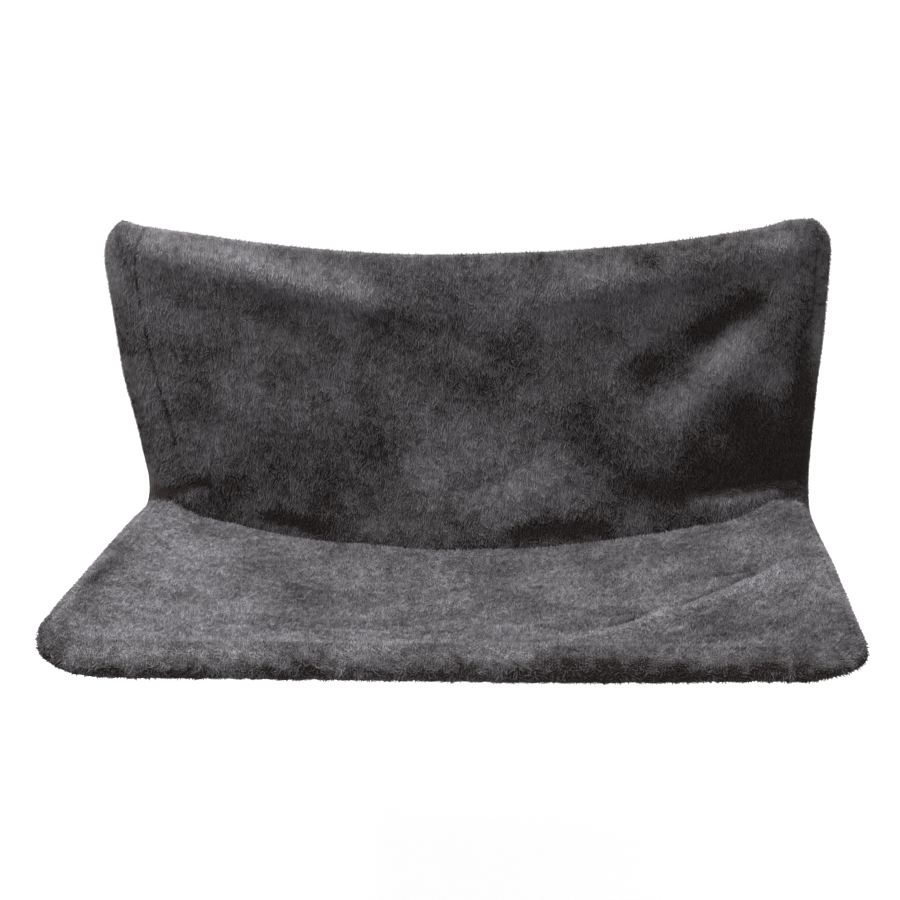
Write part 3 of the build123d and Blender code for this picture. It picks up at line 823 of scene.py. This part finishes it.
def bentRoute(points, radius, steps):
    # straight runs joined by tangent arcs
    route = [Vector(points[0])]
    for before, corner, after in zip(points, points[1:], points[2:]):
        corner = Vector(corner)
        towards = (Vector(before) - corner).normalized()
        away = (Vector(after) - corner).normalized()
        half = towards.angle(away) / 2
        reach = radius / math.tan(half)
        centre = corner + (towards + away).normalized() * radius / math.sin(half)
        first = corner + towards * reach - centre
        last = corner + away * reach - centre
        for step in range(steps + 1):
            route.append(centre + radius * first.slerp(last, step / steps))
    route.append(Vector(points[-1]))
    return route


def alongRoute(route):
    # a function from a share of the route's length to its point and direction
    lengths = [0.0]
    for a, b in zip(route, route[1:]):
        lengths.append(lengths[-1] + (b - a).length)

    def at(share):
        travelled = min(max(share, 0.0), 1.0) * lengths[-1]
        i = min(len(route) - 2, max(0, int(np.searchsorted(lengths, travelled)) - 1))
        part = (travelled - lengths[i]) / max(1e-9, lengths[i + 1] - lengths[i])
        return route[i].lerp(route[i + 1], part), (route[i + 1] - route[i]).normalized()

    return at, lengths[-1]


# small lumps, between -0.5 and 0.5, where the pile of the front roll curls into clumps
def lumpAt(spot):
    return 0.5 * noise.noise(spot * sleeveForm["curlLumps"][0])


# 1 on the top of the front roll, which is painted lit, and 0 under its front, which is painted in
# shade and where the pile curls
def rollShare(angle, lump):
    middle, slope, wander = sleeveForm["rollPile"]
    return smoothShare(0.5 + slope * (math.sin(angle) - middle + wander * lump))


# how far the outer side of an upright sleeve stands from the tube's centre line at a height
def outerReach(z, sleeveTop):
    inside, halfWidth, height = sleeveTop["corner"]
    low, (fadeZ, fadeHeight) = sleeveTop["low"], sleeveTop["fade"]
    cornerZ = sleeveTop["top"] - height
    if z < cornerZ:
        return low + (halfWidth - inside - low) * smoothShare((z - fadeZ) / fadeHeight)
    rise, power = min(1.0, (z - cornerZ) / height), sleeveForm["topPower"]
    reach = halfWidth * (1 - rise**power) ** (1 / power) - inside
    return max(sleeveForm["topReach"] * low, reach)


# the cover is drawn tight round the bends between back and seat
def pinchAt(side, y, z):
    bendY, bendZ, width, tight = sleeveForm["bends"][side]
    return tight * math.exp(-((y - bendY) ** 2 + (z - bendZ) ** 2) / width**2)


# and at the front corners it stands out from the bar, or lies close to it
def cornerPush(x, direction):
    turned = 2 * abs(direction.x) * math.sqrt(max(0.0, 1 - direction.x**2))
    return sleeveForm["cornerPush"][1 if x > 0 else -1] * turned ** sleeveForm["cornerPower"]


# the rows of an upright sleeve lie closer together in its rounded top
def sleeveShare(across, length):
    fineRows, fineShare = sleeveForm["topRowShare"], sleeveForm["topRound"] / length
    if across < fineRows:
        return across / fineRows * fineShare
    return fineShare + (1 - fineShare) * (across - fineRows) / (1 - fineRows)


# 0 at the ends of the front sleeve's arms, where the side sleeves go on, and 1 round its front
def frontShare(y):
    fadeFrom, fadeTo = sleeveForm["armFade"]
    return smoothShare((alongSeat(y) - fadeFrom) / (fadeTo - fadeFrom))


def sleeveSkin(name, kind, points, bend):
    at, length = alongRoute(bentRoute(points, bend, sleeveForm["bendSteps"][kind]))
    radius, (tailIn, tailUp) = sleeveForm["radius"], sleeveForm["tail"]
    inwardSign = -1 if points[0][0] > 0 else 1

    def place(across, turn):
        if kind == "upright":
            across = sleeveShare(across, length)
        spot, direction = at(across)
        if kind == "upright":  # the tail is on the inside of the bend
            upward = Vector((0, direction.z, -direction.y))
            inward = Vector((inwardSign, 0, 0))
        else:
            upward = seatNormal
            inward = seatNormal.cross(direction)
        angle = math.tau * turn
        offAngle = (math.degrees(angle) - sleeveForm["tailAngle"]) / sleeveForm["tailWidth"]
        tail = math.exp(-(offAngle**2))
        travelled = across * length
        height, often = sleeveForm["fullness"]
        full = 1 + height * noise.noise(spot * often)
        sideways = radius * math.cos(angle) * full
        raised = radius * math.sin(angle) * full
        if kind == "upright":
            below = max(0.0, 1 - travelled / sleeveForm["topRound"])
            round_ = math.sqrt(max(0.0, 1 - below**2))
            if sideways < 0:
                reach = outerReach(spot.z, sleeveTops[name])
                reach -= pinchAt(-inwardSign, spot.y, spot.z)
                sideways *= reach / radius
            raised *= round_
            tail *= round_ * smoothShare(travelled / sleeveForm["tailStart"])
        else:
            lump = lumpAt(spot + inward * sleeveForm["curlPlace"] * math.cos(angle))
            front = frontShare(spot.y)
            curled = front * (1 - rollShare(angle, lump))
            full = 1 + curled * sleeveForm["curlLumps"][1] * lump / radius
            sideways, raised = sideways * full, raised * full
            if sideways < 0:
                sideways *= 1 + cornerPush(spot.x, direction) / radius
            if raised < 0:
                liftFrom, liftTo, lift = sleeveForm["underLift"]
                rightward = smoothShare((spot.x - liftFrom) / (liftTo - liftFrom))
                raised *= 1 - front * lift * rightward
        return spot + inward * (sideways + tailIn * tail) + upward * (raised + tailUp * tail)

    def finish(spot, turn):
        seatToneAndShade = seatNapAndShadeAt(spot.x, alongSeat(spot.y))
        if kind == "upright":
            before, width = sleeveForm["armStart"]
            share = smoothShare((bed["uprightY"] - before - spot.y) / width)
            upright = backNapAndShade(spot.x, spot.z)
            stitchY, stitchWidth = backForm["stitchPlace"]
            stitched = math.exp(-(((spot.y - stitchY) / stitchWidth) ** 2))
            upright += stitched * strokesAt(spot.x, spot.z, backForm["stitches"])
            pile, pressed = sleeveForm["armPile"]
            pile -= pressed * pinchAt(-inwardSign, spot.y, spot.z)
            return pile, upright + (seatToneAndShade - sleeveForm["armDim"] - upright) * share, 0.0
        # the front roll's tone: the seat's tone with its painted light on top, turning to painted
        # shade under its front and towards the right
        lump = lumpAt(spot)
        share = 1 - frontShare(spot.y) * (1 - rollShare(math.tau * turn, lump))
        dimFrom, dimTo, underDim, overDim = sleeveForm["rollDim"]
        shadedRight = smoothShare((spot.x - dimFrom) / (dimTo - dimFrom))
        under = sleeveForm["frontNap"] + sleeveForm["curlLumps"][2] * lump - underDim * shadedRight
        over = seatToneAndShade - sleeveForm["overDim"] - overDim * shadedRight
        blended = under + (over - under) * share
        if share >= sleeveForm["curlStart"]:
            return 1.0, blended, 0.0
        longest, less = sleeveForm["curlPile"]
        pile = longest - less * smoothShare(-math.sin(math.tau * turn))
        return pile, blended + sleeveForm["curlLight"] * share / sleeveForm["curlStart"], 1.0

    rows = round(length / sleeveForm["rowLength"][kind])
    piece = clothSkin(name, place, finish, (rows, sleeveForm["roundSteps"]))
    wall = piece.modifiers.new("wall", "SOLIDIFY")
    wall.thickness = sleeveForm["wall"] * mm
    wall.offset = -1
    return piece


def sidePoints(side):
    x = side * bed["halfWidth"]
    endY, endZ = seatPoint(bed["sideSleeveEnd"], 0)
    crease = (x, bed["uprightY"], bed["creaseZ"])
    topZ = sleeveTops["leftSleeve" if side < 0 else "rightSleeve"]["top"]
    return [(x, bed["uprightY"], topZ), crease, (x, endY, endZ)]


def frontPoints():
    end, front = sleeveForm["frontEnd"], bed["seatDepth"]
    points = []
    for side, along in ((-1, end), (-1, front), (1, front), (1, end)):
        points.append((side * bed["halfWidth"], *seatPoint(along, 0)))
    return points


seatNormal = Vector((0, math.sin(bed["seatRise"]), math.cos(bed["seatRise"])))
leftSleeve = sleeveSkin("leftSleeve", "upright", sidePoints(-1), bed["bendRadius"])
rightSleeve = sleeveSkin("rightSleeve", "upright", sidePoints(1), bed["bendRadius"])
frontSleeve = sleeveSkin("frontSleeve", "front", frontPoints(), bed["cornerRadius"])
print("sleeves ready")

coverNodes = {
    seatPanel: "seat_panel",
    backPanel: "back_panel",
    leftSleeve: "left_sleeve",
    rightSleeve: "right_sleeve",
    frontSleeve: "front_sleeve",
}
for piece, node in coverNodes.items():
    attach(piece, "frame")
    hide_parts(node)


# pile: small leaning spikes scattered over the cloth
pileForm = {
    "spacing": 0.84,
    "length": 2.8,
    "width": 0.4,
    "sizes": (0.7, 1.15),
    "stand": 0.8,
    "nap": 0.6,
    "clumpScale": 190.0,
    "clumpDetail": 2.0,
    "clump": 4.4,
    "stray": 0.5,
    "segments": 1,
    "bend": 0.0,
    "curl": 0.0,
    "leastCover": 0.1,
    "mostDense": 4.0e6,  # for each square metre, before the spacing thins it
}
pileLengths = ("spacing", "length", "width", "bend")
pileInputs = {
    "Int": ("segments", "seed"),
    "Float": (*pileLengths, "curl", "stand", "nap", "clump", "clumpScale", "stray"),
    "Vector": ("napDirection", "low", "high"),
}
spikeSides = 3
randomSeeds = {"tint": 0, "stray": 3, "spin": 7, "size": 11}


def makePileScatter():
    group = bpy.data.node_groups.new("pileScatter", "GeometryNodeTree")
    face = group.interface
    face.new_socket("Geometry", in_out="INPUT", socket_type="NodeSocketGeometry")
    for kind, names in pileInputs.items():
        for name in names:
            face.new_socket(name, in_out="INPUT", socket_type="NodeSocket" + kind)
    face.new_socket("Geometry", in_out="OUTPUT", socket_type="NodeSocketGeometry")
    nodes, links = group.nodes, group.links
    given = nodes.new("NodeGroupInput").outputs
    out = nodes.new("NodeGroupOutput")

    def vectorMath(operation, *values):
        node = nodes.new("ShaderNodeVectorMath")
        node.operation = operation
        vectors = [s for s in node.inputs if s.type == "VECTOR"]
        if operation == "SCALE":
            vectors = [node.inputs[0], node.inputs["Scale"]]
        for socket, value in zip(vectors, values):
            feed(links, socket, value)
        return node.outputs["Value" if operation == "DOT_PRODUCT" else "Vector"]

    def store(geometry, name, value):
        node = nodes.new("GeometryNodeStoreNamedAttribute")
        node.data_type = "FLOAT"
        feedAll(links, node, {"Geometry": geometry, "Name": name, "Value": value})
        return node.outputs["Geometry"]

    def randomNode(seed, limits, kind="FLOAT"):
        node = nodes.new("FunctionNodeRandomValue")
        node.data_type = kind
        return feedAll(links, node, {**limits, "Seed": randomSeeds[seed]})

    # one spike, bent a little towards its tip
    cone = nodes.new("GeometryNodeMeshCone")
    cone.fill_type = "TRIANGLE_FAN"
    coneSizes = {
        "Vertices": spikeSides,
        "Side Segments": given["segments"],
        "Radius Top": 0.0,
        "Radius Bottom": given["width"],
        "Depth": given["length"],
    }
    feedAll(links, cone, coneSizes)
    spot = nodes.new("GeometryNodeInputPosition").outputs[0]
    parts = nodes.new("ShaderNodeSeparateXYZ")
    links.new(spot, parts.inputs[0])
    along = addMath(nodes, links, "DIVIDE", parts.outputs["Z"], given["length"])
    spike = store(cone.outputs["Mesh"], "along", along)
    curl = addMath(nodes, links, "POWER", along, 2.0)
    curl = addMath(nodes, links, "MULTIPLY", curl, given["bend"])
    shift = nodes.new("ShaderNodeCombineXYZ")
    links.new(curl, shift.inputs["X"])
    bent = nodes.new("GeometryNodeSetPosition")
    feedAll(links, bent, {"Geometry": spike, "Offset": shift.outputs[0]})

    # points on the cloth, inside the box between low and high, with or without curl
    def readLayer(name):
        layer = nodes.new("GeometryNodeInputNamedAttribute")
        layer.data_type = "FLOAT"
        layer.inputs["Name"].default_value = name
        return layer.outputs["Attribute"]

    cover = readLayer("pile")
    inside = addMath(nodes, links, "GREATER_THAN", cover, pileForm["leastCover"])
    unlike = addMath(nodes, links, "SUBTRACT", readLayer("curl"), given["curl"])
    like = addMath(nodes, links, "LESS_THAN", addMath(nodes, links, "ABSOLUTE", unlike), 0.5)
    inside = addMath(nodes, links, "MULTIPLY", inside, like)
    for name, operation in (("low", "GREATER_THAN"), ("high", "LESS_THAN")):
        limits = nodes.new("ShaderNodeSeparateXYZ")
        links.new(given[name], limits.inputs[0])
        for axis in "XYZ":
            test = addMath(nodes, links, operation, parts.outputs[axis], limits.outputs[axis])
            inside = addMath(nodes, links, "MULTIPLY", inside, test)
    scatter = nodes.new("GeometryNodeDistributePointsOnFaces")
    scatter.distribute_method = "POISSON"
    scattering = {
        "Mesh": given["Geometry"],
        "Distance Min": given["spacing"],
        "Density Max": pileForm["mostDense"],
        "Density Factor": inside,
        "Seed": given["seed"],
    }
    feedAll(links, scatter, scattering)
    points = store(scatter.outputs["Points"], "tint", randomNode("tint", {}).outputs[1])

    # each spike leans with the nap, its clump and a little on its own
    clumps = addNoise(nodes, links, spot, given["clumpScale"], pileForm["clumpDetail"])
    clump = vectorMath("SUBTRACT", clumps.outputs["Color"], (0.5, 0.5, 0.5))
    clump = vectorMath("SCALE", clump, given["clump"])
    stray = randomNode("stray", {0: (-1, -1, -1)}, "FLOAT_VECTOR")
    stray = vectorMath("SCALE", stray.outputs[0], given["stray"])
    comb = vectorMath("SCALE", given["napDirection"], given["nap"])
    lean = vectorMath("ADD", vectorMath("ADD", comb, clump), stray)
    normal = scatter.outputs["Normal"]
    outward = vectorMath("SCALE", normal, vectorMath("DOT_PRODUCT", lean, normal))
    lean = vectorMath("SUBTRACT", lean, outward)
    lean = vectorMath("ADD", lean, vectorMath("SCALE", normal, given["stand"]))
    align = nodes.new("FunctionNodeAlignRotationToVector")
    align.axis = "Z"
    links.new(lean, align.inputs["Vector"])
    turn = nodes.new("FunctionNodeAxisAngleToRotation")
    links.new(randomNode("spin", {3: math.tau}).outputs[1], turn.inputs["Angle"])
    turned = nodes.new("FunctionNodeRotateRotation")
    turned.rotation_space = "LOCAL"
    rotations = {"Rotation": align.outputs["Rotation"], "Rotate By": turn.outputs["Rotation"]}
    feedAll(links, turned, rotations)
    smallest, largest = pileForm["sizes"]
    size = randomNode("size", {2: smallest, 3: largest})
    planting = {
        "Points": points,
        "Instance": bent.outputs["Geometry"],
        "Rotation": turned.outputs["Rotation"],
        "Scale": addMath(nodes, links, "MULTIPLY", size.outputs[1], cover),
    }
    instances = feedAll(links, nodes.new("GeometryNodeInstanceOnPoints"), planting)
    real = nodes.new("GeometryNodeRealizeInstances")
    links.new(instances.outputs["Instances"], real.inputs["Geometry"])
    links.new(real.outputs["Geometry"], out.inputs["Geometry"])
    return group


pileScatter = makePileScatter()


# low and high are in metres, and take in the whole piece where they aren't given
def addPile(name, ground, napDirection, seed, low=(-1, -1, -1), high=(1, 1, 1), **changes):
    form = {**pileForm, **changes}
    scattered = bpy.data.objects.new(name, ground.data)
    scene.collection.objects.link(scattered)
    modifier = scattered.modifiers.new("pile", "NODES")
    modifier.node_group = pileScatter
    values = {**form, "napDirection": napDirection, "low": low, "high": high, "seed": seed}
    for length in pileLengths:
        values[length] *= mm
    for item in pileScatter.interface.items_tree:
        if item.in_out == "INPUT" and item.name in values:
            modifier[item.identifier] = values[item.name]
    graph = bpy.context.evaluated_depsgraph_get()
    mesh = bpy.data.meshes.new_from_object(scattered.evaluated_get(graph))
    bpy.data.objects.remove(scattered)
    mesh.name = name
    mesh.materials.clear()
    mesh.materials.append(pileMaterial)
    spikePoints = spikeSides * form["segments"] + 2
    spreadPileMap(mesh, spikePoints)
    piece = bpy.data.objects.new(name, mesh)
    scene.collection.objects.link(piece)
    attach(piece, "frame")
    print(name, len(mesh.vertices) // spikePoints, "tufts")
    return piece


mapSquare = {"middle": 0.5, "halfWidth": 0.4, "root": 0.14, "height": 0.78, "tilt": 0.08}


def spreadPileMap(mesh, spikePoints):
    # every spike gets its own small square of the map, root below and tip above
    corners = len(mesh.loops)
    points = np.empty(corners, dtype=np.int64)
    mesh.loops.foreach_get("vertex_index", points)
    along = np.empty(len(mesh.vertices), dtype=np.float32)
    mesh.attributes["along"].data.foreach_get("value", along)
    spikes = len(mesh.vertices) // spikePoints
    spike, role = np.divmod(points, spikePoints)
    rows = math.ceil(math.sqrt(spikes))
    angle = role * (math.tau / spikeSides)
    thin = 1 - along[points]
    across = mapSquare["middle"] + mapSquare["halfWidth"] * np.cos(angle) * thin
    up = mapSquare["root"] + mapSquare["height"] * along[points]
    up = up + mapSquare["tilt"] * np.sin(angle) * thin
    spots = np.stack([(spike % rows + across) / rows, (spike // rows + up) / rows], axis=1)
    layer = mesh.uv_layers.new(name="OFBake")
    layer.data.foreach_set("uv", spots.ravel())


seatPile = {
    "spacing": 0.81,
    "length": 2.25,
    "width": 0.44,
    "stand": 1.0,
    "clump": 3.4,
    "stray": 0.45,
}
curls = {
    "spacing": 1.0,
    "length": 3.3,
    "width": 0.66,
    "stand": 0.55,
    "nap": 0.15,
    "clumpScale": 150.0,
    "clump": 11.2,
    "stray": 0.25,
    "segments": 3,
    "bend": 2.6,
    "curl": 1.0,
}
seatNapWay, backNapWay, sleeveNapWay = (0.3, -0.9, 0.25), (0.1, 0, -1), (0, -0.4, -0.8)
seatParts, backParts = (-1000, -98.3, 1.7, 102.1, 1000), (-1000, -71.3, 71.3, 1000)
piles = {piece: [] for piece in coverNodes}


# the pile of a panel is split from left to right, so that no piece is too large
def addPanelPile(panel, parts, napDirection, seed, **changes):
    for i, letter in enumerate("ABCD"[: len(parts) - 1]):
        name = panel.name.replace("Panel", "Pile") + letter
        limits = {"low": (parts[i] * mm, -1, -1), "high": (parts[i + 1] * mm, 1, 1)}
        piles[panel].append(addPile(name, panel, napDirection, seed + i, **limits, **changes))


addPanelPile(seatPanel, seatParts, seatNapWay, 1, **seatPile)
addPanelPile(backPanel, backParts, backNapWay, 11)
piles[leftSleeve].append(addPile("leftSleevePile", leftSleeve, sleeveNapWay, 21))
piles[rightSleeve].append(addPile("rightSleevePile", rightSleeve, sleeveNapWay, 22))
piles[frontSleeve].append(addPile("frontSleevePile", frontSleeve, seatNapWay, 23, **seatPile))
piles[frontSleeve].append(addPile("frontEdgeCurls", frontSleeve, sleeveNapWay, 24, **curls))
print("pile ready")


# the frame's finishes, by the record's material slots: a fine grain and slow smudges on each
finishes = {
    "frame_steel": {
        "name": "powderCoat",
        "dark": (0.017, 0.017, 0.018, 1.0),
        "light": (0.04, 0.04, 0.042, 1.0),
        "metallic": 0.0,
        "roughness": (0.4, 0.6),
        "grain": 1500.0,
        "smudge": 28.0,
        "bump": 0.05,
    },
    "fastener_steel": {
        "name": "zincPlate",
        "dark": (0.4, 0.405, 0.41, 1.0),
        "light": (0.68, 0.69, 0.7, 1.0),
        "metallic": 1.0,
        "roughness": (0.26, 0.48),
        "grain": 900.0,
        "smudge": 70.0,
        "bump": 0.012,
    },
    "black_plastic": {
        "name": "mouldedPlastic",
        "dark": (0.013, 0.013, 0.014, 1.0),
        "light": (0.028, 0.028, 0.03, 1.0),
        "metallic": 0.0,
        "roughness": (0.36, 0.52),
        "grain": 1200.0,
        "smudge": 45.0,
        "bump": 0.02,
    },
    "rubber": {
        "name": "softRubber",
        "dark": (0.016, 0.016, 0.016, 1.0),
        "light": (0.042, 0.041, 0.04, 1.0),
        "metallic": 0.0,
        "roughness": (0.7, 0.88),
        "grain": 800.0,
        "smudge": 36.0,
        "bump": 0.07,
    },
}


grainDetails = {"Grain": 2.0, "Smudge": 4.0}
grainBlend = {
    "weight": 0.4,
    "darkLevel": 0.2,
    "smudgeRange": (0.3, 0.7),
}


def makeFineGrain():
    group = bpy.data.node_groups.new("fineGrain", "ShaderNodeTree")
    for name in grainDetails:
        group.interface.new_socket(name + " Scale", in_out="INPUT", socket_type="NodeSocketFloat")
        group.interface.new_socket(name, in_out="OUTPUT", socket_type="NodeSocketFloat")
    nodes, links = group.nodes, group.links
    given = nodes.new("NodeGroupInput")
    out = nodes.new("NodeGroupOutput")
    place = nodes.new("ShaderNodeTexCoord").outputs["Object"]
    for name, detail in grainDetails.items():
        texture = addNoise(nodes, links, place, given.outputs[name + " Scale"], detail)
        links.new(texture.outputs["Fac"], out.inputs[name])
    return group


def makeFinish(look, grainGroup):
    material, nodes, links = newMaterial(look["name"])
    grain = nodes.new("ShaderNodeGroup")
    grain.node_tree = grainGroup
    feedAll(links, grain, {"Grain Scale": look["grain"], "Smudge Scale": look["smudge"]})
    fine, slow = grain.outputs["Grain"], grain.outputs["Smudge"]
    share = addMath(nodes, links, "MULTIPLY_ADD", fine, grainBlend["weight"], slow)
    share = addMath(nodes, links, "SUBTRACT", share, grainBlend["darkLevel"])
    roughness = nodes.new("ShaderNodeMapRange")
    names = ("Value", "From Min", "From Max", "To Min", "To Max")
    ends = (slow, *grainBlend["smudgeRange"], *look["roughness"])
    feedAll(links, roughness, dict(zip(names, ends)))
    shaderLook = {
        "Base Color": addBlend(nodes, links, share, look),
        "Metallic": look["metallic"],
        "Roughness": roughness.outputs["Result"],
        "Normal": addBump(nodes, links, fine, look["bump"]),
    }
    feedAll(links, nodes["Principled BSDF"], shaderLook)
    return material


fineGrain = makeFineGrain()
slotMaterials = {slot: makeFinish(look, fineGrain) for slot, look in finishes.items()}
for part in frame["record"]["subparts"]:
    if part["material_slot"] in slotMaterials:
        for slot in frame["nodes"][part["node"]].material_slots:
            slot.material = slotMaterials[part["material_slot"]]
print("frame finishes ready")
